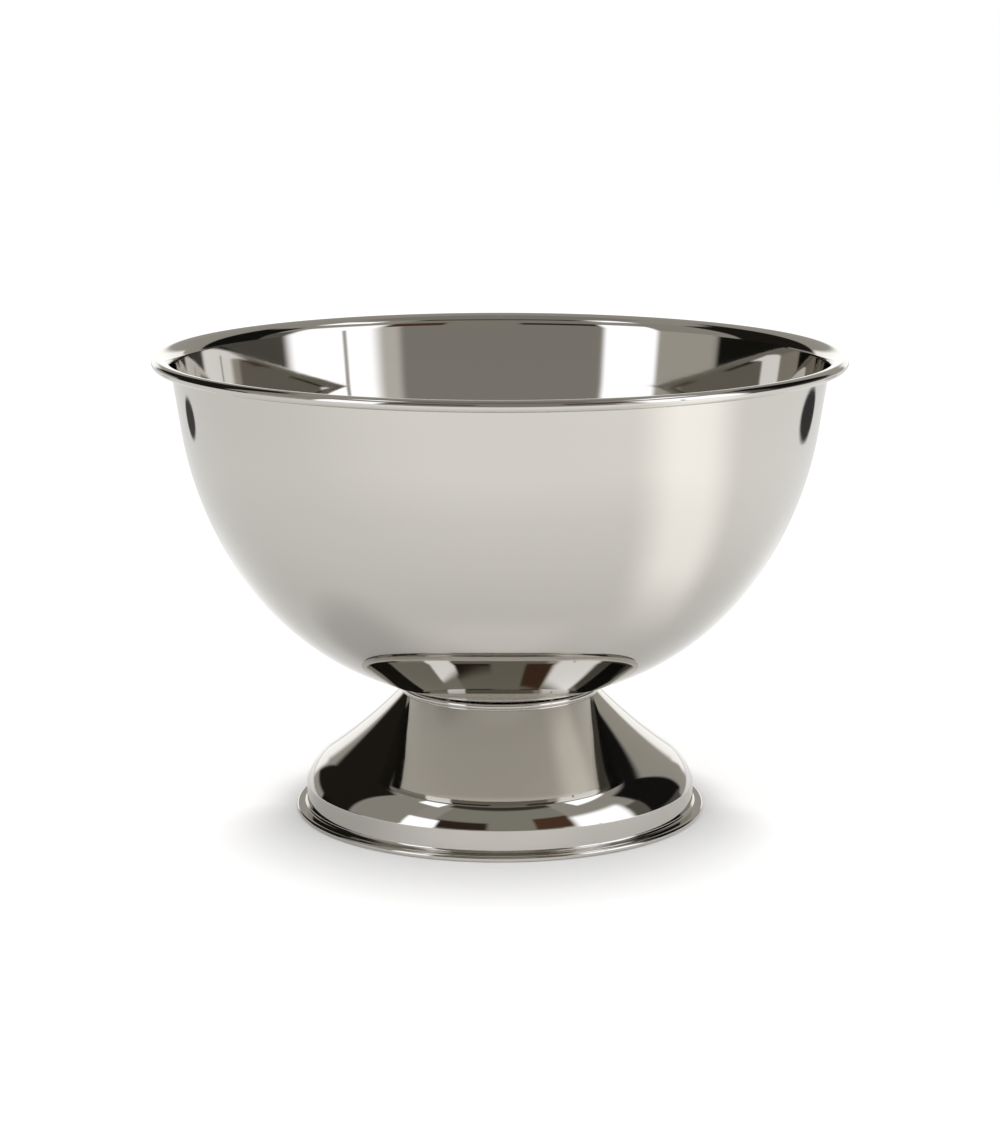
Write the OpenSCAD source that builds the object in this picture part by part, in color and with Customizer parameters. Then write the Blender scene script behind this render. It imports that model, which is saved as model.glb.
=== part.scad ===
// Pedestal punch bowl in polished stainless steel sheet.
// A spun bowl with a flared, rolled rim stands on a spun, hollow foot. A stud welded
// under the bowl passes down through the foot and is clamped there by a wing nut.
// Millimetres. The origin is the centre of the circle that the foot stands on, +Z is up.

/* [Sheet] */
// Thickness of the sheet that the bowl is spun from
bowl_t = 0.8; // [0.6:0.1:1.2]
// Thickness of the sheet that the foot is spun from
foot_t = 0.8; // [0.6:0.1:1.2]

/* [Bowl] */
// Diameter over the rolled rim
rim_d = 370; // [310:1:445]
// Height from the table to the top of the rim
overall_h = 249.3; // [205:0.1:300]
// Height of the lowest point of the bowl above the table
bowl_base_h = 61.9; // [56:0.1:74]
// Radius of the shallow crown at the bottom of the bowl
crown_r = 186; // [160:1:220]
// Angle from straight down at which the crown ends
crown_angle = 26.5; // [24:0.5:30]
// Angle from straight down at which the haunch ends
haunch_angle = 54; // [50:0.5:58]
// Outward lean of the straight wall under the rim, from vertical
wall_lean = 8.5; // [7:0.5:10]
// Length of the straight wall under the rim
wall_h = 32; // [24:1:36]

/* [Rim] */
// Radius of the hollow bead that ends the rim
rim_bead_r = 3; // [2.5:0.1:4]
// Radius at which the wall flares out, on its underside
flare_r = 7.4; // [6:0.1:9]
// Angle that the bead is rolled through, past the top of the rim
rim_roll = 255; // [200:5:265]

/* [Foot] */
// Diameter over the rolled edge that the foot stands on
foot_d = 222.8; // [185:0.1:268]
// Width of the flat brim, from the skirt to the outside of the rolled edge
brim_w = 5.9; // [5.6:0.1:9]
// Radius of the rolled edge
hem_r = 1.7; // [1.5:0.1:2.5]
// Angle that the edge is rolled through, past its top
hem_roll = 250; // [200:5:265]
// How far the rolled edge is pressed flat where it stands on the table
hem_flat = 0.1; // [0.05:0.05:0.3]
// Radius between the brim and the skirt
brim_fillet = 1.6; // [1:0.1:2]
// Height of the top of the upright skirt
skirt_h = 14.6; // [11:0.1:20]
// Radius of the edge between the skirt and the shoulder
edge_r = 2.5; // [1.5:0.1:4]
// Angle that this edge turns through
edge_angle = 20; // [17:1:24]
// Radius of the rounded shoulder
shoulder_r = 32; // [27:1:38]
// Radius of the long hollow flank above the shoulder
flank_r = 290; // [240:10:350]

/* [Seat] */
// Radius of the circle on which the bowl sits
seat_r = 52.9; // [45:0.1:64]
// Radius of the bead that the bowl sits on
seat_bead_r = 1.6; // [1.2:0.1:2.2]
// How far the flank's face runs inside the centre of the seat bead
neck_inset = 0.8; // [0.4:0.1:1.2]
// Radius of the hollow between the seat bead and the flank
neck_fillet = 0.6; // [0.4:0.1:1.2]
// Radius of the flat bottom of the well inside the seat
well_r = 44; // [36:0.5:47]
// Radius between the well's bottom and its wall
well_fillet = 2.5; // [1.5:0.1:4]
// Clearance between the bowl and the seat bead
seat_gap = 0.3; // [0.2:0.05:0.5]

/* [Fixing] */
// Radius of the stud over its thread
stud_r = 3.95; // [3.4:0.05:4.9]
// Pitch of the stud's thread
pitch = 1.25; // [1:0.25:1.5]
// How far the stud sticks out below the nut
stud_tail = 2.5; // [1:0.5:5]
// Radius of the pad that carries the stud
pad_r = 20; // [15:1:26]
// Thickness of the pad at its centre
pad_t = 2; // [1.5:0.1:3]
// Film of solder between the pad and the bowl
solder_gap = 0.05; // [0.03:0.01:0.1]
// Clearance between the pad and the foot's top panel
panel_gap = 1.6; // [1:0.1:2.5]
// Clearance all round the stud in the parts that it passes through
hole_gap = 0.45; // [0.3:0.05:0.8]
// Running clearance between the stud and the nut's bore
thread_gap = 0.05; // [0.02:0.01:0.08]
// Radius of the clamp plate
clamp_r = 26; // [18:1:32]
// Thickness of the clamp plate
clamp_t = 2; // [1.5:0.1:3]
// Radius of the plain washer
washer_r = 8; // [7:0.5:10]
// Thickness of the plain washer
washer_t = 1.6; // [1.2:0.1:2]
// Width of the spring washer's ring
spring_w = 2.9; // [2.5:0.1:3.5]
// Thickness of the spring washer
spring_t = 2; // [1.6:0.1:2.5]
// Clearance between the wing nut and the spring washer
nut_gap = 0.05; // [0.02:0.01:0.1]

/* [Wing nut] */
// Radius of the nut at the face that clamps
nut_base_r = 8; // [6.5:0.5:10]
// Radius of the nut at its other end
nut_tip_r = 6.3; // [5.4:0.1:6.9]
// Length of the nut's threaded boss
nut_h = 8.5; // [7:0.5:11]
// Distance from the stud's axis to the middle of each wing's round end
wing_reach = 13.2; // [11:0.1:16]
// Distance from the clamping face to the middle of each wing's round end
wing_drop = 13.2; // [11:0.1:16]
// Radius of each wing's round end
wing_end_r = 5.6; // [4.5:0.1:6.5]
// Distance from the clamping face to where each wing starts
wing_start = 2.1; // [1:0.1:4]
// Thickness of the wings
wing_t = 2.4; // [1.8:0.1:3.2]

/* [Hidden] */
$fn = 180;
steel = [0.72, 0.71, 0.69];
fastener_steel = [0.62, 0.62, 0.6];
// Largest distance between an arc and the short lines that stand for it
arc_tolerance = 0.04;

// Rim: the flare's centre sits right above the bead's, so that the two meet level at the top
rim_centre_r = rim_d / 2 - rim_bead_r;
bead_z = overall_h - rim_bead_r;
flare_z = overall_h - flare_r - bowl_t;
// Lower end of the straight wall
wall_low_r = rim_centre_r - flare_r * cos(wall_lean) - wall_h * sin(wall_lean);
wall_low_z = flare_z + flare_r * sin(wall_lean) - wall_h * cos(wall_lean);

// Bowl: crown, haunch and side are three arcs that run into each other. The crown is given,
// and the other two radii are the ones that bring the side to the wall.
wall_angle = 90 - wall_lean;
crown_z = bowl_base_h + crown_r;
rise_r = wall_low_r - crown_r * sin(crown_angle);
rise_z = wall_low_z - bowl_base_h - crown_r * (1 - cos(crown_angle));
haunch_dr = sin(haunch_angle) - sin(crown_angle);
haunch_dz = cos(crown_angle) - cos(haunch_angle);
side_dr = sin(wall_angle) - sin(haunch_angle);
side_dz = cos(haunch_angle) - cos(wall_angle);
arc_det = haunch_dr * side_dz - side_dr * haunch_dz;
haunch_r = (rise_r * side_dz - side_dr * rise_z) / arc_det;
side_r = (haunch_dr * rise_z - haunch_dz * rise_r) / arc_det;
crown_c = [0, crown_z];
haunch_c = crown_c + (crown_r - haunch_r) * down(crown_angle);
side_c = haunch_c + (haunch_r - side_r) * down(haunch_angle);

bowl_bends = [
    [crown_c, crown_r, -90, crown_angle - 90, -1],
    [haunch_c, haunch_r, crown_angle - 90, haunch_angle - 90, -1],
    [side_c, side_r, haunch_angle - 90, -wall_lean, -1],
    [[rim_centre_r, flare_z], flare_r, 180 - wall_lean, 90, 1],
    [[rim_centre_r, bead_z], rim_bead_r - bowl_t, 90, 90 - rim_roll, 1],
];

// Foot, from the table upwards
foot_r = foot_d / 2;
hem_c = [foot_r - hem_r, hem_r - hem_flat];
brim_z = hem_c[1] + hem_r;
skirt_r = foot_r - brim_w;
edge_c = [skirt_r - edge_r, skirt_h];
shoulder_c = edge_c + (edge_r - shoulder_r) * level(edge_angle);

// Seat: a bead that lies a clearance away from the bowl's crown
seat_reach = crown_r + seat_gap + seat_bead_r;
seat_c = [seat_r, crown_z - sqrt(seat_reach * seat_reach - seat_r * seat_r)];
// The hollow flank runs into the shoulder, and passes the centre of the seat bead at the inset
flank_c = meet(shoulder_c, flank_r + shoulder_r, seat_c, flank_r - neck_inset, -1);
// Under the seat bead a small hollow leads from the bead to the flank
neck_c = meet(seat_c, seat_bead_r + neck_fillet, flank_c, flank_r - neck_fillet, -1);
flank_top = heading(flank_c - neck_c) + 180;
flank_low = heading(flank_c - shoulder_c) + 180;

// Well: a flat panel under the bowl, and a wall up to the seat bead
pad_z = bowl_base_h - pad_t;
panel_z = pad_z - panel_gap;
well_c = [well_r, panel_z + well_fillet];
well_span = seat_c - well_c;
well_angle = heading(well_span) - acos((well_fillet + seat_bead_r) / norm(well_span));

foot_bends = [
    [well_c, well_fillet, -90, well_angle, 1],
    [seat_c, seat_bead_r, well_angle + 180, heading(neck_c - seat_c), -1],
    [neck_c, neck_fillet, heading(seat_c - neck_c), flank_top, 1],
    [flank_c, flank_r, flank_top, flank_low, 1],
    [shoulder_c, shoulder_r, flank_low - 180, edge_angle, -1],
    [edge_c, edge_r, edge_angle, 0, -1],
    [[skirt_r, brim_z] + [brim_fillet, brim_fillet], brim_fillet, 180, 270, 1],
    [hem_c, hem_r, 90, 90 - hem_roll, -1],
];

// Stack of fasteners under the panel
hole_r = stud_r + hole_gap;
clamp_z = panel_z - foot_t - clamp_t;
washer_z = clamp_z - washer_t;
spring_z = washer_z - spring_t;
nut_z = spring_z - nut_gap;
stud_end_z = nut_z - nut_h - stud_tail;

// Thread: its depth, and each ridge's points as shares of the pitch and of that depth
thread_depth = 0.61 * pitch;
root_r = stud_r - thread_depth;
ridge = [[0.1, 0], [0.45, 1], [0.65, 1], [1, 0]];
chamfer = 0.4;
thread_z = stud_end_z + 2 * chamfer;
ridges = floor((pad_z - thread_z) / pitch) - 1;
shank_z = thread_z + pitch * ridges + thread_depth;

// Slit of the spring washer, and its slant
spring_slit = 1;
spring_tilt = 25;

// The wings grow out of the middle of the boss's wall
nut_bore_r = stud_r + thread_gap;
wing_root_r = (nut_tip_r + nut_bore_r) / 2;

// Unit vectors in the section plane: down() counts from straight down, level() from straight out
function down(a) = [sin(a), -cos(a)];
function level(a) = [cos(a), sin(a)];
function heading(v) = atan2(v[1], v[0]);

// Point where a line from p touches a circle, on its left (side 1) or right (side -1) seen from c
function touch(p, c, radius, side) =
    c + radius * level(heading(p - c) + side * acos(radius / norm(p - c)));

// Point at one reach from p and another from q, on the left (side 1) or right (side -1) of p to q
function meet(p, reach_p, q, reach_q, side) =
    let (span = norm(q - p))
    let (turn = acos((reach_p * reach_p + span * span - reach_q * reach_q) / (2 * reach_p * span)))
    p + reach_p * level(heading(q - p) + side * turn);

// A bend is [centre, radius of the face, first angle, last angle, side], with angles counted
// from straight out. The sheet's other face lies further out on side 1, further in on side -1.
function bend_radius(bend, depth) = bend[1] + bend[4] * depth;
function bend_point(bend, depth, angle) = bend[0] + bend_radius(bend, depth) * level(angle);

// Points along a bend, at a depth below the face. One that starts where the last one ended
// leaves out its first point.
function bend_points(bend, depth, first) =
    let (turn = bend[3] - bend[2])
    let (step = 2 * acos(1 - arc_tolerance / (bend[1] + abs(depth))))
    let (count = ceil(abs(turn) / step))
    [for (i = [first : count]) bend_point(bend, depth, bend[2] + turn * i / count)];

function runs_on(last, next) =
    norm(bend_point(last, 0, last[3]) - bend_point(next, 0, next[2])) < arc_tolerance;

// One face of a sheet: its bends in order, and straight from each to the next
function face_points(bends, depth) = [
    for (i = [0 : len(bends) - 1])
        each bend_points(bends[i], depth, i > 0 && runs_on(bends[i - 1], bends[i]) ? 1 : 0)
];

function reversed(points) = [for (i = [len(points) - 1 : -1 : 0]) points[i]];

// Section of a sheet of thickness t. Where it starts flat, flat_start holds its first edge,
// from the far face to the near one.
module sheet(bends, t, flat_start = []) {
    polygon(concat(face_points(bends, 0), reversed(face_points(bends, t)), flat_start));
}

module bowl() {
    color(steel) rotate_extrude() sheet(bowl_bends, bowl_t);
}

// The square cuts the rolled edge flat at the table
module foot() {
    color(steel) rotate_extrude() intersection() {
        sheet(foot_bends, foot_t, [[hole_r, panel_z - foot_t], [hole_r, panel_z]]);
        square([foot_d, overall_h]);
    }
}

// Pad soldered under the bowl, dished on top to fit the crown
module stud_plate() {
    color(fastener_steel) rotate_extrude() difference() {
        translate([0, pad_z]) square([pad_r, 2 * pad_t]);
        translate(crown_c) circle(crown_r + solder_gap);
    }
}

// Stud with its thread as a row of ridges, and a chamfered end
module stud() {
    thread = [
        for (i = [0 : ridges - 1])
            for (p = ridge) [root_r + thread_depth * p[1], thread_z + pitch * (i + p[0])]
    ];
    end = [[0, stud_end_z], [root_r - chamfer, stud_end_z], [root_r, stud_end_z + chamfer]];
    shank = [[stud_r, shank_z], [stud_r, pad_z], [0, pad_z]];
    color(fastener_steel) rotate_extrude() polygon(concat(end, thread, shank));
}

module ring(outer_r, inner_r, z, t) {
    translate([0, 0, z]) difference() {
        cylinder(r = outer_r, h = t);
        translate([0, 0, -t]) cylinder(r = inner_r, h = 3 * t);
    }
}

module clamp_plate() {
    color(fastener_steel) ring(clamp_r, hole_r, clamp_z, clamp_t);
}

module washer() {
    color(fastener_steel) ring(washer_r, hole_r, washer_z, washer_t);
}

// Ring cut through by a slanting slit
module spring_washer() {
    ring_w = 2 * (hole_r + spring_w);
    color(fastener_steel) difference() {
        ring(hole_r + spring_w, hole_r, spring_z, spring_t);
        translate([ring_w / 2, 0, spring_z + spring_t / 2]) rotate([spring_tilt, 0, 0])
            cube([ring_w, spring_slit, 3 * spring_t], center = true);
    }
}

// Outline of one wing, in the plane of the stud's axis
module wing_outline() {
    end_c = [wing_reach, -wing_drop];
    root_top = [wing_root_r, -wing_start];
    root_low = [wing_root_r, -nut_h];
    translate(end_c) circle(wing_end_r);
    polygon([root_top, touch(root_top, end_c, wing_end_r, -1), end_c,
        touch(root_low, end_c, wing_end_r, 1), root_low]);
}

module wing_nut() {
    color(fastener_steel) translate([0, 0, nut_z]) difference() {
        union() {
            translate([0, 0, -nut_h]) cylinder(r1 = nut_tip_r, r2 = nut_base_r, h = nut_h);
            for (turn = [0, 180])
                rotate([0, 0, turn]) rotate([90, 0, 0])
                    linear_extrude(height = wing_t, center = true) wing_outline();
        }
        translate([0, 0, -2 * nut_h]) cylinder(r = nut_bore_r, h = 3 * nut_h);
    }
}

bowl();
stud_plate();
stud();
foot();
clamp_plate();
washer();
spring_washer();
wing_nut();
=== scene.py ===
"""Looks of the pedestal punch bowl: polished sheet, fasteners, floor, light and camera.

Lengths are in metres and angles in degrees. The sheet sections follow the same bends as
the part's source: each bend is an arc, and the sheet runs straight from one to the next.
"""

import math

import bmesh
import bpy
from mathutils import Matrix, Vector


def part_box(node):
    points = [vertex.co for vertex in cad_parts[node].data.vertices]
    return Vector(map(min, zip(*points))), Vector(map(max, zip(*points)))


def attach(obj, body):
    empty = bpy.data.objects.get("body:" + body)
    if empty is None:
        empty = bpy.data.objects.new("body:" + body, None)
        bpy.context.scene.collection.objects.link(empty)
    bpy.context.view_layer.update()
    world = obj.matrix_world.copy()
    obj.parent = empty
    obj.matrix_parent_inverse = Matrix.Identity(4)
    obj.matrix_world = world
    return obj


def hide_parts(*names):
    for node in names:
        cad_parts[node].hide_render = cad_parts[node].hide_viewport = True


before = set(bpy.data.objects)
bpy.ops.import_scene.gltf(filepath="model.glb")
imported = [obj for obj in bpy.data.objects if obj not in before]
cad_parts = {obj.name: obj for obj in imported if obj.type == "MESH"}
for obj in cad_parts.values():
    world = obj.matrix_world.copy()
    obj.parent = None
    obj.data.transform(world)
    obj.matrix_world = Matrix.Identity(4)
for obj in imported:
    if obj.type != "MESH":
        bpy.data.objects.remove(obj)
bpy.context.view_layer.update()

MM = 0.001
TURN = 2 * math.pi
SEGMENTS = 288  # round the bowl and the foot
SMALL_SEGMENTS = 96  # round the fasteners
SAME = 1e-7  # points nearer than this are one point
SHARP = math.radians(35)  # faces that turn more than this meet at a sharp edge


# ---- Sizes, from the frame where it gives them

bowl_low, bowl_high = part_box("bowl")
_, foot_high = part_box("foot")
pad_low, pad_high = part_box("stud_plate")
stud_low, stud_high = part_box("stud")
clamp_low, clamp_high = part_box("clamp_plate")
washer_low, washer_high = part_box("washer")
spring_low, spring_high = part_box("spring_washer")
nut_low, nut_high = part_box("wing_nut")

sheet_t = 0.8 * MM

crown_r = 186 * MM
crown_angle = 26.5
haunch_angle = 54
wall_lean = 8.5
wall_h = 32 * MM
rim_bead_r = 3 * MM
flare_r = 7.4 * MM
rim_roll = 255

brim_w = 5.9 * MM
hem_r = 1.7 * MM
hem_roll = 250
hem_flat = 0.1 * MM
brim_fillet = 1.6 * MM
skirt_h = 14.6 * MM
edge_r = 2.5 * MM
edge_angle = 20
shoulder_r = 32 * MM
flank_r = 290 * MM

seat_r = 52.9 * MM
seat_bead_r = 1.6 * MM
seat_gap = 0.3 * MM
neck_inset = 0.8 * MM
neck_fillet = 0.6 * MM
well_r = 44 * MM
well_fillet = 2.5 * MM
panel_gap = 1.6 * MM

stud_r = stud_high.x
hole_gap = 0.45 * MM
hole_r = stud_r + hole_gap
pitch = 1.25 * MM
clamp_round = 0.4 * MM
washer_round = 0.25 * MM

nut_h = 8.5 * MM
nut_base_r = 8 * MM
nut_tip_r = 6.3 * MM
nut_gap = 0.05 * MM
wing_start = 2.1 * MM
wing_root_r = 5 * MM
wing_end_r = 5.6 * MM
wing_t = 2.4 * MM
wing_swell = 1.2 * MM  # more thickness at the wing's root, which fades over the span below
wing_swell_span = 8 * MM


# ---- Sections: a point is a Vector (distance from the axis, height)

def level(degrees):
    """Unit vector at an angle from straight out."""
    a = math.radians(degrees)
    return Vector((math.cos(a), math.sin(a)))


def heading(v):
    return math.degrees(math.atan2(v.y, v.x))


def arc(centre, radius, start, end, side, depth=0.0, reach=3 * MM, step=7.0):
    """Points of an arc between two angles, with the surface's normal at each. On side 1 the
    sheet's other face, which depth asks for, lies further out, and on side -1 further in.
    reach and step are the longest stretch and the widest turn between two points."""
    radius = radius + side * depth
    turn = end - start
    length = abs(math.radians(turn)) * radius
    count = max(3, math.ceil(abs(turn) / step), math.ceil(length / reach))
    facing = side if depth else -side
    angles = [start + turn * i / count for i in range(count + 1)]
    return [(centre + radius * level(a), facing * level(a)) for a in angles]


def joined(arcs):
    """One run of points and normals, without the point that two arcs share."""
    run = []
    for part in arcs:
        if run and (run[-1][0] - part[0][0]).length < SAME:
            part = part[1:]
        run += part
    return run


def face(bends, depth=0.0):
    """The face of the sheet that the bends give, or with a depth the other face."""
    return joined([arc(*bend, depth=depth) for bend in bends])


# ---- Meshes

def new_object(name, verts, faces, normals=None, materials=(), material_of=None):
    mesh = bpy.data.meshes.new(name)
    mesh.from_pydata(verts, [], faces)
    for material in materials:
        mesh.materials.append(material)
    if material_of:
        mesh.polygons.foreach_set("material_index", material_of)
    mesh.polygons.foreach_set("use_smooth", [True] * len(mesh.polygons))
    if normals:
        mesh.normals_split_custom_set(normals)
    mesh.update()
    obj = bpy.data.objects.new(name, mesh)
    bpy.context.scene.collection.objects.link(obj)
    return obj


def section_strips(runs):
    """The section's points, and its strips: first point, normal at each end, and run."""
    points, strips = [], []
    for k, run in enumerate(runs):
        for (p, n), (q, m) in zip(run, run[1:]):
            if (p - q).length < SAME / 10:
                continue
            if not points or (points[-1] - p).length > SAME:
                points.append(p)
            strips.append((len(points) - 1, n, m, k))
            points.append(q)
    if (points[0] - points[-1]).length < SAME:
        points.pop()
    return points, strips


def section_rings(points, turns):
    """Vertices of the turned section, and the indices of each point's ring of them."""
    verts, rings = [], []
    for p in points:
        if p.x < SAME:
            rings.append([len(verts)] * len(turns))
            verts.append((0, 0, p.y))
        else:
            rings.append(list(range(len(verts), len(verts) + len(turns))))
            verts += [(p.x * c, p.x * s, p.y) for c, s in turns]
    return verts, rings


def lathe(name, runs, materials, slots=None, segments=SEGMENTS):
    """Turns a closed section about the Z axis. Each run is a smooth stretch of points and
    normals, and the runs meet at sharp edges. slots gives each run's material."""
    points, strips = section_strips(runs)
    angles = [TURN * i / segments for i in range(segments)]
    turns = [(math.cos(a), math.sin(a)) for a in angles]
    verts, rings = section_rings(points, turns)
    faces, normals, material_of = [], [], []
    for i, n, m, k in strips:
        low, high = rings[i], rings[(i + 1) % len(rings)]
        for j in range(segments):
            j2 = (j + 1) % segments
            corners = [(low[j], n, j), (low[j2], n, j2), (high[j2], m, j2), (high[j], m, j)]
            if low[j] == low[j2]:
                corners.pop(1)
            elif high[j] == high[j2]:
                corners.pop(2)
            faces.append([v for v, _, _ in corners])
            normals += [(a.x * turns[t][0], a.x * turns[t][1], a.y) for _, a, t in corners]
            material_of.append(slots[k] if slots else 0)
    return new_object(name, verts, faces, normals, materials, material_of)


def edge(p, q):
    """Straight run between two points, with the section's material on its left."""
    d = (q - p).normalized()
    n = Vector((d.y, -d.x))
    return [(p, n), (q, n)]


# ---- Bowl and foot

rim_centre_r = bowl_high.x - rim_bead_r
rim_bead_c = Vector((rim_centre_r, bowl_high.z - rim_bead_r))
flare_c = Vector((rim_centre_r, bowl_high.z - flare_r - sheet_t))
wall_low = flare_c - flare_r * level(-wall_lean) - wall_h * level(90 - wall_lean)

# The crown is given, and the haunch and side have the radii that bring the side to the wall
wall_angle = 90 - wall_lean
crown_c = Vector((0, bowl_low.z + crown_r))


def down(degrees):
    return level(degrees - 90)


def haunch_and_side():
    """Radii of the haunch and the side, which run on from the crown and end at the wall."""
    rise = wall_low - crown_c - crown_r * down(crown_angle)
    u = down(haunch_angle) - down(crown_angle)
    v = down(wall_angle) - down(haunch_angle)
    det = u.x * v.y - v.x * u.y
    return (rise.x * v.y - v.x * rise.y) / det, (u.x * rise.y - u.y * rise.x) / det


haunch_r, side_r = haunch_and_side()
haunch_c = crown_c + (crown_r - haunch_r) * down(crown_angle)
side_c = haunch_c + (haunch_r - side_r) * down(haunch_angle)

# A bend is (centre, radius, start, end, side)
bowl_bends = [
    (crown_c, crown_r, -90, crown_angle - 90, -1),
    (haunch_c, haunch_r, crown_angle - 90, haunch_angle - 90, -1),
    (side_c, side_r, haunch_angle - 90, -wall_lean, -1),
    (flare_c, flare_r, 180 - wall_lean, 90, 1),
    (rim_bead_c, rim_bead_r - sheet_t, 90, 90 - rim_roll, 1),
]

hem_c = Vector((foot_high.x - hem_r, hem_r - hem_flat))
brim_z = hem_c.y + hem_r
skirt_r = foot_high.x - brim_w
brim_c = Vector((skirt_r + brim_fillet, brim_z + brim_fillet))
edge_c = Vector((skirt_r - edge_r, skirt_h))
shoulder_c = edge_c + (edge_r - shoulder_r) * level(edge_angle)


def meet(p, reach_p, q, reach_q, side):
    """The point that far from p and from q, on the left (side 1) or right of p to q."""
    span = (q - p).length
    turn = math.acos((reach_p**2 + span**2 - reach_q**2) / (2 * reach_p * span))
    return p + reach_p * level(heading(q - p) + side * math.degrees(turn))


# The bowl sits on the seat bead. The hollow flank runs into the shoulder, and passes the
# centre of that bead at the inset.
seat_reach = crown_r + seat_gap + seat_bead_r
seat_c = Vector((seat_r, crown_c.y - math.sqrt(seat_reach**2 - seat_r**2)))
flank_c = meet(shoulder_c, flank_r + shoulder_r, seat_c, flank_r - neck_inset, -1)
neck_c = meet(seat_c, seat_bead_r + neck_fillet, flank_c, flank_r - neck_fillet, -1)
flank_top = heading(flank_c - neck_c) + 180
flank_low = heading(flank_c - shoulder_c) + 180

panel_z = pad_low.z - panel_gap
well_c = Vector((well_r, panel_z + well_fillet))
well_span = seat_c - well_c
well_angle = heading(well_span) - math.degrees(
    math.acos((well_fillet + seat_bead_r) / well_span.length)
)

foot_bends = [
    (well_c, well_fillet, -90, well_angle, 1),
    (seat_c, seat_bead_r, well_angle + 180, heading(neck_c - seat_c), -1),
    (neck_c, neck_fillet, heading(seat_c - neck_c), flank_top, 1),
    (flank_c, flank_r, flank_top, flank_low, 1),
    (shoulder_c, shoulder_r, flank_low - 180, edge_angle, -1),
    (edge_c, edge_r, edge_angle, 0, -1),
    (brim_c, brim_fillet, 180, 270, 1),
    (hem_c, hem_r, 90, 90 - hem_roll, -1),
]


def cut_at_floor(run):
    """Presses flat what reaches below the floor."""
    return [(p, n) if p.y > 0 else (Vector((p.x, 0)), Vector((0, -1))) for p, n in run]


def bowl_shell(polished):
    outside = face(bowl_bends)
    inside = face(bowl_bends, sheet_t)[::-1]
    lip = edge(outside[-1][0], inside[0][0])
    return lathe("bowl_shell", [outside, lip, inside], [polished])


def foot_shell(polished, satin):
    hole_top, hole_low = Vector((hole_r, panel_z)), Vector((hole_r, panel_z - sheet_t))
    under = cut_at_floor(face(foot_bends, sheet_t))
    under = edge(hole_low, under[0][0])[:1] + under
    over = cut_at_floor(face(foot_bends))[::-1]
    over = over + [(hole_top, Vector((0, 1)))]
    runs = [under, edge(under[-1][0], over[0][0]), over, edge(hole_top, hole_low)]
    return lathe("foot_shell", runs, [satin, polished], [0, 1, 1, 1])


# ---- Fasteners

def corner(p, before, after, radius):
    """Rounds a corner that the section turns left at, between two headings in degrees."""
    turn = after - before
    back = radius * math.tan(math.radians(turn) / 2)
    centre = p - back * level(before) + radius * level(before + 90)
    return arc(centre, radius, before - 90, after - 90, -1)


def box_section(inner, outer, low, high, radius):
    """Section of a flat ring with rounded corners."""
    corners = [(inner, low, -90), (outer, low, 0), (outer, high, 90), (inner, high, 180)]
    arcs = [corner(Vector((x, z)), turn, turn + 90, radius) for x, z, turn in corners]
    return joined(arcs + [arcs[0][:1]])


def flat_ring(name, inner, low, high, radius, material):
    """Ring between the corners of a CAD box."""
    section = box_section(inner, high.x, low.z, high.z, radius)
    return lathe(name, [section], [material], segments=SMALL_SEGMENTS)


def stud_pad(material):
    """Pad that is dished on top to fit the crown."""
    pad_r, dish_gap, round_r = pad_high.x, 0.05 * MM, 0.4 * MM
    dish_r = crown_r + dish_gap
    lean = math.degrees(math.asin(pad_r / dish_r))
    rim_turn = 0.2  # degrees between the rim's corner and the start of the dish
    rim = crown_c + dish_r * down(lean)
    section = [(Vector((0, pad_low.z)), Vector((0, -1)))]
    section += corner(Vector((pad_r, pad_low.z)), 0, 90, round_r)
    section += corner(rim, 90, 180 + lean, round_r / 2)
    section += arc(crown_c, dish_r, lean - 90 - rim_turn, -90, 1)
    return lathe("stud_pad", [section], [material], segments=SMALL_SEGMENTS)


def solder_fillet(material):
    """Hollow-faced ring of solder in the corner between the pad and the bowl."""
    pad_r, gap, width = pad_high.x, 0.02 * MM, 1.4 * MM

    def on_bowl(x):
        return crown_c + (crown_r + gap) * down(math.degrees(math.asin(x / crown_r)))

    high = on_bowl(pad_r + width)
    inner = on_bowl(pad_r + gap)
    low = Vector((pad_r + gap, inner.y - width))
    centre = Vector((high.x, low.y))
    hollow_r = 0.93 * width  # less than the width, so that the feather edge has some body
    hollow = arc(centre, hollow_r, 180, 95, 1)
    runs = [hollow, edge(hollow[-1][0], inner), edge(inner, low), edge(low, hollow[0][0])]
    return lathe("solder_fillet", runs, [material], segments=SMALL_SEGMENTS)


def ridge(share):
    """Height of the thread's rounded ridge, from 0 to 1, at a share of the pitch."""
    wave = 0.5 - 0.5 * math.cos(TURN * share)
    steepness = 1.5
    return min(1, max(0, 0.5 + steepness * (wave - 0.5)))


def thread_column(around):
    """Radius and height up the thread's face, at a share of the turn round the stud."""
    per_pitch = 12
    root_r = stud_r - 0.61 * pitch
    chamfer = 0.4 * MM
    low = stud_low.z
    shank_z = stud_high.z - pitch
    turns = math.ceil((shank_z - low) / pitch) + 1
    column = []
    for i in range(turns * per_pitch + 1):
        share = i / per_pitch
        z = min(shank_z, max(low, low + pitch * (share - 1 + around)))
        r = root_r + (stud_r - root_r) * ridge(share)
        r = max(r, stud_r - max(0, shank_z - z))
        column.append((min(r, root_r - chamfer + (z - low)), z))
    return column


def weld_column():
    """Radius and height up the hollow fillet of weld, from the stud out to the pad."""
    weld, rows = 0.9 * MM, 8
    centre = Vector((stud_r + weld, stud_high.z - weld))
    fillet = [centre + weld * level(180 - 90 * i / rows) for i in range(rows + 1)]
    return [tuple(p) for p in fillet]


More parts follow.
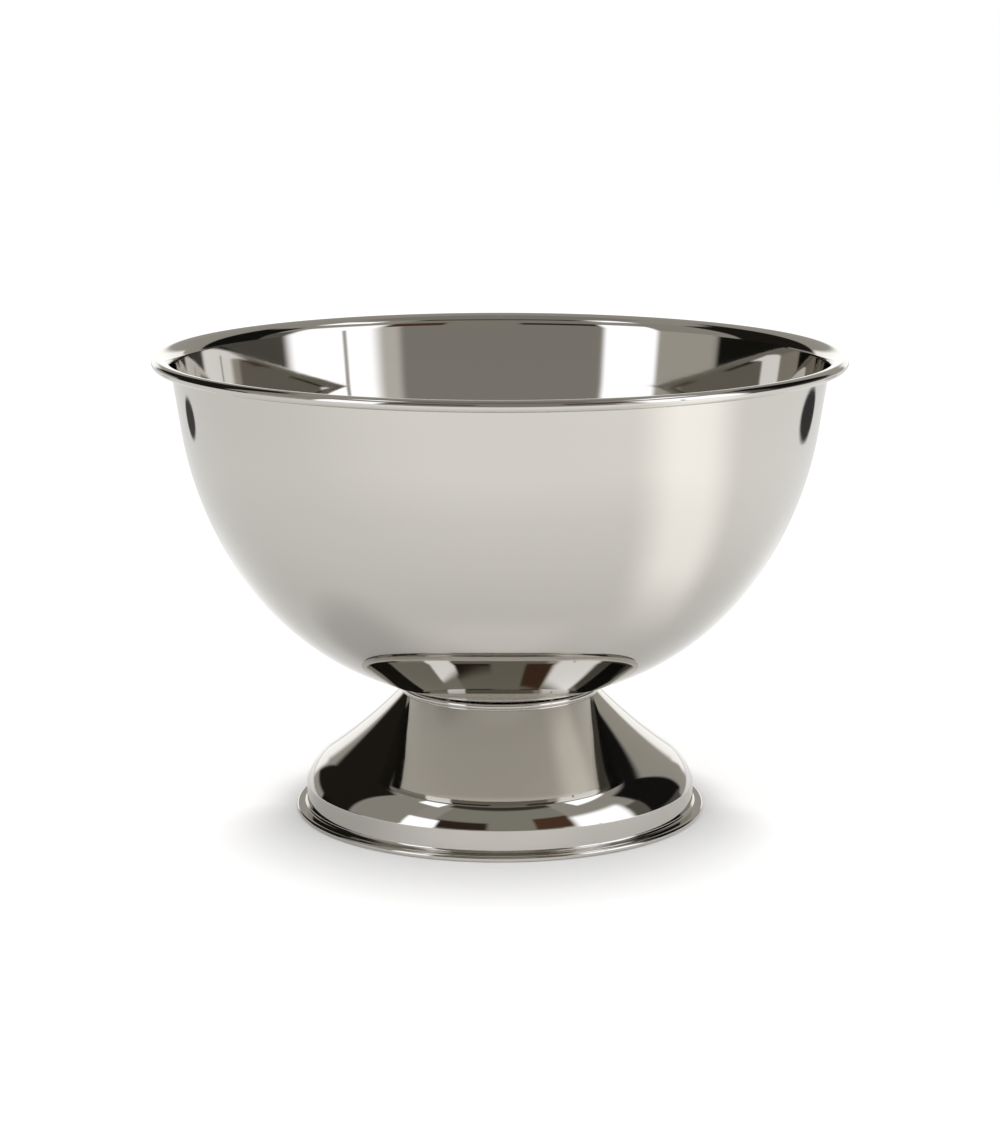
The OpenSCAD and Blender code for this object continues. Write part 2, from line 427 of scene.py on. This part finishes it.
def stud_rod(material):
    """Stud with a right-hand thread, a chamfered end, and a fillet of weld at its top."""
    columns = 72
    verts, faces = [], []
    for k in range(columns + 1):
        a = TURN * k / columns
        column = [(0, stud_low.z)] + thread_column(k / columns)
        column += weld_column() + [(0, stud_high.z)]
        verts += [(r * math.cos(a), r * math.sin(a), z) for r, z in column]
    height = len(column)
    for k in range(columns):
        for i in range(height - 1):
            v = k * height + i
            faces.append((v, v + height, v + height + 1, v + 1))
    return welded("stud_rod", verts, faces, material)


def welded(name, verts, faces, material):
    """Object whose doubled points are merged, with sharp edges where the faces turn enough."""
    mesh = bpy.data.meshes.new(name)
    mesh.from_pydata(verts, [], faces)
    build = bmesh.new()
    build.from_mesh(mesh)
    bmesh.ops.remove_doubles(build, verts=build.verts, dist=1e-6)
    bmesh.ops.dissolve_degenerate(build, edges=build.edges, dist=1e-7)
    bmesh.ops.recalc_face_normals(build, faces=build.faces)
    build.to_mesh(mesh)
    build.free()
    mesh.polygons.foreach_set("use_smooth", [True] * len(mesh.polygons))
    mesh.set_sharp_from_angle(angle=SHARP)
    mesh.materials.append(material)
    obj = bpy.data.objects.new(name, mesh)
    bpy.context.scene.collection.objects.link(obj)
    return obj


def split_washer(material):
    """Ring of nearly square wire, cut by a slanting slit."""
    slit, tilt, steps = 1 * MM, math.radians(25), 96
    section = box_section(hole_r, spring_high.x, spring_low.z, spring_high.z, washer_round)
    section = [p for p, _ in section[:-1]]
    middle = (spring_low.z + spring_high.z) / 2
    half = slit / 2 / math.cos(tilt)
    verts, faces = [], []
    for k in range(steps + 1):
        for p in section:
            slant = (middle - p.y) * math.tan(tilt)
            start = math.asin((slant + half) / p.x)
            end = TURN + math.asin((slant - half) / p.x)
            a = start + (end - start) * k / steps
            verts.append((p.x * math.cos(a), p.x * math.sin(a), p.y))
    count = len(section)
    for k in range(steps):
        for i in range(count):
            j = (i + 1) % count
            v, w = k * count, (k + 1) * count
            faces.append((v + i, w + i, w + j, v + j))
    faces.append(tuple(range(count)))
    faces.append(tuple(steps * count + i for i in reversed(range(count))))
    return welded("split_washer", verts, faces, material)


def slab(outline, thickness):
    """Closed blank from an outline in the XZ plane, with a thickness for each distance x."""
    verts, faces = [], []
    count = len(outline)
    for side in (-1, 1):
        verts += [(x, side * thickness(x) / 2, z) for x, z in outline]
    faces.append(tuple(range(count)))
    faces.append(tuple(count + i for i in reversed(range(count))))
    for i in range(count):
        j = (i + 1) % count
        faces.append((j, i, count + i, count + j))
    return verts, faces


def tangent(p, centre, radius, side):
    """Where a line from p touches a circle."""
    away = p - centre
    turn = math.degrees(math.acos(radius / away.length))
    return centre + radius * level(heading(away) + side * turn)


def wing_outline():
    """One wing, measured from the clamping face."""
    end_c = Vector((nut_high.x - wing_end_r, nut_low.z - nut_high.z + wing_end_r))
    top, low = Vector((wing_root_r, -wing_start)), Vector((wing_root_r, -nut_h))
    start = heading(tangent(top, end_c, wing_end_r, -1) - end_c)
    end = heading(tangent(low, end_c, wing_end_r, 1) - end_c)
    turn = (end - start) % -360
    steps = 28
    rounded = [end_c + wing_end_r * level(start + turn * i / steps) for i in range(steps + 1)]
    return [top] + rounded + [low]


def wing_thickness(x):
    return wing_t + wing_swell * max(0, 1 - (x - wing_root_r) / wing_swell_span)


def boss():
    """Vertices and faces of the nut's tapered body. The skin grown on it is a little larger."""
    top, low, shrink = nut_high.z, nut_high.z - nut_h, 0.15 * MM
    section = [
        (Vector((0, low)), Vector((0, -1))),
        (Vector((nut_tip_r - shrink, low)), Vector((0, -1))),
        (Vector((nut_base_r - shrink, top)), Vector((0, 1))),
        (Vector((0, top)), Vector((0, 1))),
    ]
    blank = lathe("blank", [section], [], segments=SMALL_SEGMENTS)
    verts = [tuple(v.co) for v in blank.data.vertices]
    faces = [tuple(f.vertices) for f in blank.data.polygons]
    bpy.data.objects.remove(blank)
    return verts, faces


def wing_nut(material):
    """Forged look: a boss and two wings grown into one skin, then bored."""
    verts, faces = boss()
    outline = [(p.x, p.y + nut_high.z) for p in wing_outline()]
    for turn in (1, -1):
        wing_verts, wing_faces = slab(outline, wing_thickness)
        first = len(verts)
        verts += [(turn * x, turn * y, z) for x, y, z in wing_verts]
        faces += [tuple(first + i for i in f) for f in wing_faces]
    nut = welded("winged_nut", verts, faces, material)
    grow(nut)
    bore(nut, stud_r + nut_gap)
    return nut


def apply_modifiers(obj):
    """Makes the modifiers' result the object's own mesh."""
    graph = bpy.context.evaluated_depsgraph_get()
    mesh = bpy.data.meshes.new_from_object(obj.evaluated_get(graph))
    obj.modifiers.clear()
    obj.data = mesh


def grow(obj):
    """Joins the blanks into one skin and rounds it."""
    remesh = obj.modifiers.new("skin", "REMESH")
    remesh.mode = "VOXEL"
    remesh.voxel_size = 0.28 * MM
    remesh.use_smooth_shade = True
    smooth = obj.modifiers.new("rounding", "SMOOTH")
    smooth.factor = 0.5
    smooth.iterations = 6
    apply_modifiers(obj)


def bore(obj, radius):
    """Cuts a plain hole with a small countersink at each end."""
    low, high, sink = nut_low.z, nut_high.z, 0.5 * MM
    boss_low = high - nut_h
    rim = radius + sink
    points = [(0, low), (rim + sink, low), (rim + sink, boss_low - sink), (radius, boss_low + sink)]
    points += [(radius, high - sink), (rim + sink, high + sink), (0, high + sink)]
    points = [Vector(p) for p in points]
    runs = [edge(p, q) for p, q in zip(points, points[1:])]
    cutter = lathe("cutter", runs, [], segments=SMALL_SEGMENTS)
    cut = obj.modifiers.new("bore", "BOOLEAN")
    cut.operation = "DIFFERENCE"
    cut.solver = "EXACT"
    cut.object = cutter
    apply_modifiers(obj)
    bpy.data.objects.remove(cutter)
    obj.data.set_sharp_from_angle(angle=SHARP)


# ---- Materials

def add(tree, kind, inputs=(), **settings):
    """New node. Its inputs come in order, or by name: a socket is linked, None is left."""
    made = tree.nodes.new(kind)
    for key, value in settings.items():
        setattr(made, key, value)
    named = inputs.items() if isinstance(inputs, dict) else enumerate(inputs)
    for key, value in named:
        if isinstance(value, bpy.types.NodeSocket):
            tree.links.new(value, made.inputs[key])
        elif value is not None:
            made.inputs[key].default_value = value
    return made


def maths(tree, operation, *values):
    return add(tree, "ShaderNodeMath", values, operation=operation).outputs[0]


def remap(tree, value, low, high, to_low, to_high, smooth=False):
    kind = "SMOOTHSTEP" if smooth else "LINEAR"
    spread = (value, low, high, to_low, to_high)
    return add(tree, "ShaderNodeMapRange", spread, interpolation_type=kind).outputs[0]


def distance(tree, x, y):
    squares = maths(tree, "MULTIPLY_ADD", x, x, maths(tree, "MULTIPLY", y, y))
    return maths(tree, "SQRT", squares)


def bearing(tree, x, y):
    """Degrees round the axis: 0 is towards the camera, and 90 to its right."""
    return maths(tree, "DEGREES", maths(tree, "ARCTAN2", x, maths(tree, "MULTIPLY", y, -1.0)))


def mixed(tree, share, first, second, **settings):
    """Colour that goes from the first to the second. Either may be a socket."""
    mix = add(tree, "ShaderNodeMix", {"Factor": share}, data_type="RGBA", **settings)
    for key, value in (("A", first), ("B", second)):
        if isinstance(value, bpy.types.NodeSocket):
            tree.links.new(value, mix.inputs[key])
        else:
            mix.inputs[key].default_value = value
    return mix.outputs["Result"]


def section_place(tree):
    """Distance from the axis and height, so that a pattern runs round in circles."""
    place = add(tree, "ShaderNodeTexCoord").outputs["Object"]
    x, y, z = add(tree, "ShaderNodeSeparateXYZ", [place]).outputs
    circles = add(tree, "ShaderNodeCombineXYZ", [distance(tree, x, y), z, 0.0]).outputs[0]
    return place, circles


def noise(tree, place, size, detail=2.0):
    """Noise from 0 to 1 whose patches are about as large as size, in metres."""
    inputs = {"Vector": place, "Scale": 1 / size, "Detail": detail, "Roughness": 0.55}
    return add(tree, "ShaderNodeTexNoise", inputs).outputs[0]


def bump(tree, height, depth, normal=None):
    inputs = {"Height": height, "Distance": depth, "Normal": normal}
    return add(tree, "ShaderNodeBump", inputs).outputs[0]


def steel(name, colour, rough, wear, ripples, tint=0.03):
    """Bare steel. rough is its lowest and highest roughness, wear the size of the patches
    between them, ripples a list of (size, depth) of lines that run round the axis, and tint
    the share by which the colour goes lighter and darker."""
    material = bpy.data.materials.new(name)
    material.use_nodes = True
    tree = material.node_tree
    shader = tree.nodes["Principled BSDF"]
    shader.inputs["Metallic"].default_value = 1
    place, circles = section_place(tree)
    patches = noise(tree, place, wear, 4.0)
    tree.links.new(remap(tree, patches, 0.3, 0.7, *rough), shader.inputs["Roughness"])
    light = [c * (1 + tint) for c in colour]
    dark = [c * (1 - tint) for c in colour]
    clouded = mixed(tree, noise(tree, circles, wear / 2), (*dark, 1), (*light, 1))
    tree.links.new(clouded, shader.inputs["Base Color"])
    normal = None
    for size, depth in ripples:
        normal = bump(tree, noise(tree, circles, size), depth, normal)
    tree.links.new(normal, shader.inputs["Normal"])
    return material


# ---- Studio

def smooth_span(tree, value, middle, half, soft):
    """1 where the value is within half of the middle, fading to 0 across soft."""
    away = maths(tree, "ABSOLUTE", maths(tree, "SUBTRACT", value, middle))
    return remap(tree, away, half - soft / 2, half + soft / 2, 1.0, 0.0, smooth=True)


# The room round the object, as the steel shows it, and what stands in it: span of bearing (0
# is towards the camera, 90 to its right), span of elevation, colour, and width of the soft
# edge. Spans and edges are in degrees, and later panels lie over earlier ones.
ROOM_SHADE = (0.42, 0.405, 0.38)
PANELS = [
    ("overhead", (-180, 180), (66, 95), (0.30, 0.29, 0.275), 6),
    ("backdrop", (152, 208), (-10, 12), (1.3, 1.3, 1.28), 6),
    ("left side", (-150, -99), (6, 52), (0.017, 0.015, 0.012), 4),
    ("left side low", (-128, -88), (-10, 8), (0.010, 0.010, 0.008), 3),
    ("left wall", (-97, -60), (10, 57), (0.38, 0.37, 0.34), 5),
    ("left wall low", (-86, -60), (-10, 12), (0.52, 0.50, 0.46), 3),
    ("right side", (98, 136), (5, 47), (0.009, 0.009, 0.009), 4),
    ("right dim", (86, 99), (5, 30), (0.14, 0.135, 0.12), 4),
    ("right dim low", (86, 132), (-10, 7), (0.10, 0.095, 0.085), 4),
    ("right wall", (138, 154), (5, 32), (0.43, 0.41, 0.37), 4),
    ("room low", (-38, 38), (-5, 22), (0.315, 0.30, 0.28), 2),
    ("room middle", (-42, 46), (22, 60), (0.31, 0.305, 0.265), 4),
    ("shade low", (-42, -8), (22, 36), (0.04, 0.028, 0.020), 4),
    ("timber", (22, 46), (22, 42), (0.10, 0.053, 0.032), 3),
    ("shade high", (-48, 48), (60, 68), (0.05, 0.048, 0.04), 4),
    ("softbox left low", (-61, -39.5), (-10, 34), (1.85, 1.90, 2.05), 3),
    ("softbox left high", (-76, -54), (56, 66), (1.90, 1.95, 2.10), 2),
    ("softbox right edge", (38, 52), (-10, 20), (0.72, 0.70, 0.67), 5),
    ("softbox right low", (47, 85), (-10, 37), (1.85, 1.90, 2.05), 7),
    ("softbox right gap", (59.2, 60.8), (-10, 12), (0.55, 0.54, 0.52), 1),
    ("softbox right high", (66, 103), (53, 62), (1.90, 1.95, 2.10), 2),
]


def room(tree):
    """Colour that the panels have in the direction of the ray."""
    place = add(tree, "ShaderNodeTexCoord").outputs["Generated"]
    x, y, z = add(tree, "ShaderNodeSeparateXYZ", [place]).outputs
    azimuth = bearing(tree, x, y)
    elevation = maths(tree, "DEGREES", maths(tree, "ARCSINE", z))
    colour = (*ROOM_SHADE, 1)
    for name, (left, right), (low, high), panel, soft in PANELS:
        middle, half = (left + right) / 2, (right - left) / 2
        swung = maths(tree, "WRAP", maths(tree, "SUBTRACT", azimuth, middle), 180.0, -180.0)
        across = smooth_span(tree, swung, 0.0, half, soft)
        upright = smooth_span(tree, elevation, (low + high) / 2, (high - low) / 2, soft)
        mask = maths(tree, "MULTIPLY", across, upright)
        colour = mixed(tree, mask, colour, (*panel, 1), label=name)
    return colour


def studio():
    """World: white behind the object, soft even light, and the room in what metal shows."""
    world = bpy.data.worlds.new("studio")
    world.use_nodes = True
    bpy.context.scene.world = world
    tree = world.node_tree
    white, even_light = (1, 1, 1, 1), (0.8, 0.8, 0.8, 1)
    rays = add(tree, "ShaderNodeLightPath").outputs
    metal = maths(tree, "MAXIMUM", rays["Is Glossy Ray"], rays["Is Transmission Ray"])
    plain = mixed(tree, rays["Is Camera Ray"], even_light, white)
    seen = mixed(tree, metal, plain, room(tree))
    tree.links.new(seen, tree.nodes["Background"].inputs["Color"])


# Painted light and painted shade on the floor, which only the steel shows, as painted
# reflections: centre, reach across and in depth, the share of that reach with the full effect,
# and how much painted light is added or, below zero, the share that painted shade takes away.
# The whole floor gets a little painted light as well.
MIRRORED_FLOOR_LIGHT = 0.10
MIRRORED_LIGHT_AND_SHADE = [
    ("front", (0.1, -0.9), (1.8, 0.8), 0.3, 0.14),
    ("right", (0.9, 0.0), (0.9, 1.2), 0.3, 0.12),
    ("back", (0.0, 0.32), (0.44, 0.36), 0.3, 0.28),
    # Painted shade beside the foot, and painted light before it.
    ("painted shade beside the foot", (-0.13, -0.05), (0.10, 0.10), 0.3, -0.22),
    ("painted light before the foot", (0.0, -0.135), (0.10, 0.04), 0.3, 0.09),
    # Painted dark reflections: floor that the steel shows darker.
    ("painted dark reflection left", (-0.73, 0.73), (0.07, 0.135), 0.7, -0.92),
    ("painted dark reflection right", (0.755, 0.69), (0.09, 0.195), 0.7, -0.95),
]


def window_streak(tree, x, y):
    """Light of the right window on the floor: a streak that runs outwards from the foot. Its
    middle, half width and soft edge are in degrees."""
    gain, middle, half, soft = 0.42, 64, 14, 20
    near, full = 0.13, 0.27
    across = smooth_span(tree, bearing(tree, x, y), middle, half, soft)
    along = remap(tree, distance(tree, x, y), near, full, 0.0, gain, smooth=True)
    return maths(tree, "MULTIPLY", across, along)


def painted_floor_light_and_shade(tree, x, y):
    """Painted light added to the floor, and the share of its colour that painted shade leaves."""
    added, left = window_streak(tree, x, y), 1.0
    for _, centre, reach, firm, gain in MIRRORED_LIGHT_AND_SHADE:
        across = maths(tree, "DIVIDE", maths(tree, "SUBTRACT", x, centre[0]), reach[0])
        deep = maths(tree, "DIVIDE", maths(tree, "SUBTRACT", y, centre[1]), reach[1])
        away = distance(tree, across, deep)
        mask = remap(tree, away, firm, 1.0, abs(gain), 0.0, smooth=True)
        if gain > 0:
            added = maths(tree, "ADD", added, mask)
        else:
            left = maths(tree, "MULTIPLY", left, maths(tree, "SUBTRACT", 1.0, mask))
    return maths(tree, "MULTIPLY", maths(tree, "ADD", added, MIRRORED_FLOOR_LIGHT), left), left


def open_floor(tree, x, y):
    """Light that only the camera sees, outside the foot's shade. The shade is short at the
    sides and behind and longer in front, where the share ahead is 1."""
    foot_r, full = foot_high.x, 0.40
    side_start, side_end = foot_r - 9.9 * MM, foot_r + 26.1 * MM
    front_start, front_end = foot_r - 19.4 * MM, foot_r + 143.6 * MM
    out = distance(tree, x, y)
    back = maths(tree, "DIVIDE", y, out)
    ahead = maths(tree, "MAXIMUM", maths(tree, "MULTIPLY", back, -1.0), 0.0)
    start = remap(tree, ahead, 0.0, 1.0, side_start, front_start)
    end = remap(tree, ahead, 0.0, 1.0, side_end, front_end)
    return remap(tree, out, start, end, 0.0, full, smooth=True)


def lit_card(tree, x, y):
    """Light of a card inside the ring that the foot stands on."""
    light = 0.4
    full_r, end_r = foot_high.x - 16.4 * MM, foot_high.x - 7.4 * MM
    return remap(tree, distance(tree, x, y), full_r, end_r, light, 0.0, smooth=True)


def floor_material():
    """White that the camera sees a little brighter, so that it ends in the white behind it,
    and that is clear from below. The card shows the fasteners to a camera below."""
    material = bpy.data.materials.new("floor")
    material.use_nodes = True
    tree = material.node_tree
    shader = tree.nodes["Principled BSDF"]
    shader.inputs["Roughness"].default_value = 0.6
    shader.inputs["Specular IOR Level"].default_value = 0
    shader.inputs["Emission Color"].default_value = (1, 0.99, 0.98, 1)
    place = add(tree, "ShaderNodeTexCoord").outputs["Object"]
    x, y, _ = add(tree, "ShaderNodeSeparateXYZ", [place]).outputs
    rays = add(tree, "ShaderNodeLightPath").outputs
    added, left = painted_floor_light_and_shade(tree, x, y)
    albedo = 0.86
    # Painted shade darkens and painted light brightens only what glossy rays see: painted
    # reflections in the steel.
    taken = maths(tree, "MULTIPLY", maths(tree, "SUBTRACT", 1.0, left), rays["Is Glossy Ray"])
    shown = maths(tree, "MULTIPLY", maths(tree, "SUBTRACT", 1.0, taken), albedo)
    tree.links.new(shown, shader.inputs["Base Color"])
    seen = maths(tree, "MULTIPLY", rays["Is Camera Ray"], open_floor(tree, x, y))
    mirrored = maths(tree, "MULTIPLY", rays["Is Glossy Ray"], added)
    lit = maths(tree, "ADD", lit_card(tree, x, y), maths(tree, "ADD", seen, mirrored))
    tree.links.new(lit, shader.inputs["Emission Strength"])
    clear = add(tree, "ShaderNodeBsdfTransparent").outputs[0]
    under = add(tree, "ShaderNodeNewGeometry").outputs["Backfacing"]
    below = maths(tree, "MULTIPLY", under, rays["Is Camera Ray"])
    mix = add(tree, "ShaderNodeMixShader", [below, shader.outputs[0], clear]).outputs[0]
    tree.links.new(mix, tree.nodes["Material Output"].inputs["Surface"])
    return material


def floor():
    """Flat sweep, just below what stands on it."""
    reach, drop = 4.0, 0.1 * MM
    corners = [(-reach, -reach, 0), (reach, -reach, 0), (reach, reach, 0), (-reach, reach, 0)]
    obj = new_object("floor", corners, [(0, 1, 2, 3)], materials=[floor_material()])
    obj.location.z = -drop


def lamp(name, place, size, power):
    """Soft lamp aimed at the middle of the object, which the camera and the steel don't see."""
    data = bpy.data.lights.new(name, "AREA")
    data.shape = "DISK"
    data.size = size
    data.energy = power
    obj = bpy.data.objects.new(name, data)
    bpy.context.scene.collection.objects.link(obj)
    obj.location = place
    middle = Vector((0, 0, 0.1))
    aim = middle - Vector(place)
    obj.rotation_euler = aim.to_track_quat("-Z", "Y").to_euler()
    obj.visible_camera = False
    obj.visible_glossy = False


def camera():
    """The photograph's view. Distance, height and tilt are those at which the ellipses of the
    rim and the foot are as open as in the photograph."""
    away, height, tilt = 1.57297, 0.44975, 11.5
    data = bpy.data.cameras.new("camera")
    obj = bpy.data.objects.new("camera", data)
    bpy.context.scene.collection.objects.link(obj)
    obj.location = (0, -away, height)
    obj.rotation_euler = (math.radians(90 - tilt), 0, 0)
    data.sensor_width = 36
    data.lens = 93.5
    bpy.context.scene.camera = obj


# ---- Put together

polished = steel(
    "polished_sheet", (0.56, 0.54, 0.50), (0.025, 0.055), 60 * MM,
    [(9 * MM, 6e-6), (0.6 * MM, 5e-8)],
)
satin = steel(
    "satin_sheet", (0.58, 0.57, 0.55), (0.24, 0.34), 40 * MM,
    [(3 * MM, 1e-5), (0.4 * MM, 6e-6)], tint=0.06,
)
fastener = steel(
    "fastener_steel", (0.56, 0.55, 0.53), (0.20, 0.32), 6 * MM,
    [(0.5 * MM, 6e-6)], tint=0.08,
)
solder = steel(
    "solder", (0.52, 0.52, 0.51), (0.30, 0.45), 5 * MM,
    [(1.5 * MM, 4e-5)], tint=0.08,
)

PIECES = [
    (bowl_shell(polished), "bowl_body", "bowl", "polished_sheet"),
    (stud_pad(fastener), "bowl_body", "stud_plate", "fastener_steel"),
    (solder_fillet(solder), "bowl_body", None, "fastener_steel"),
    (stud_rod(fastener), "bowl_body", "stud", "fastener_steel"),
    (foot_shell(polished, satin), "foot_body", "foot", "polished_sheet"),
    (flat_ring("clamp_disc", hole_r, clamp_low, clamp_high, clamp_round, fastener),
     "foot_body", "clamp_plate", "fastener_steel"),
    (flat_ring("plain_washer", hole_r, washer_low, washer_high, washer_round, fastener),
     "foot_body", "washer", "fastener_steel"),
    (split_washer(fastener), "foot_body", "spring_washer", "fastener_steel"),
    (wing_nut(fastener), "nut_body", "wing_nut", "fastener_steel"),
]
for piece, body, node, slot in PIECES:
    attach(piece, body)
    if node:
        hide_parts(node)

studio()
floor()
lamp("key", (-1.2, -1.4, 2.0), 1.2, 12)
lamp("fill", (1.6, -0.9, 1.6), 1.2, 8)
camera()
bpy.context.scene.view_settings.view_transform = "Standard"
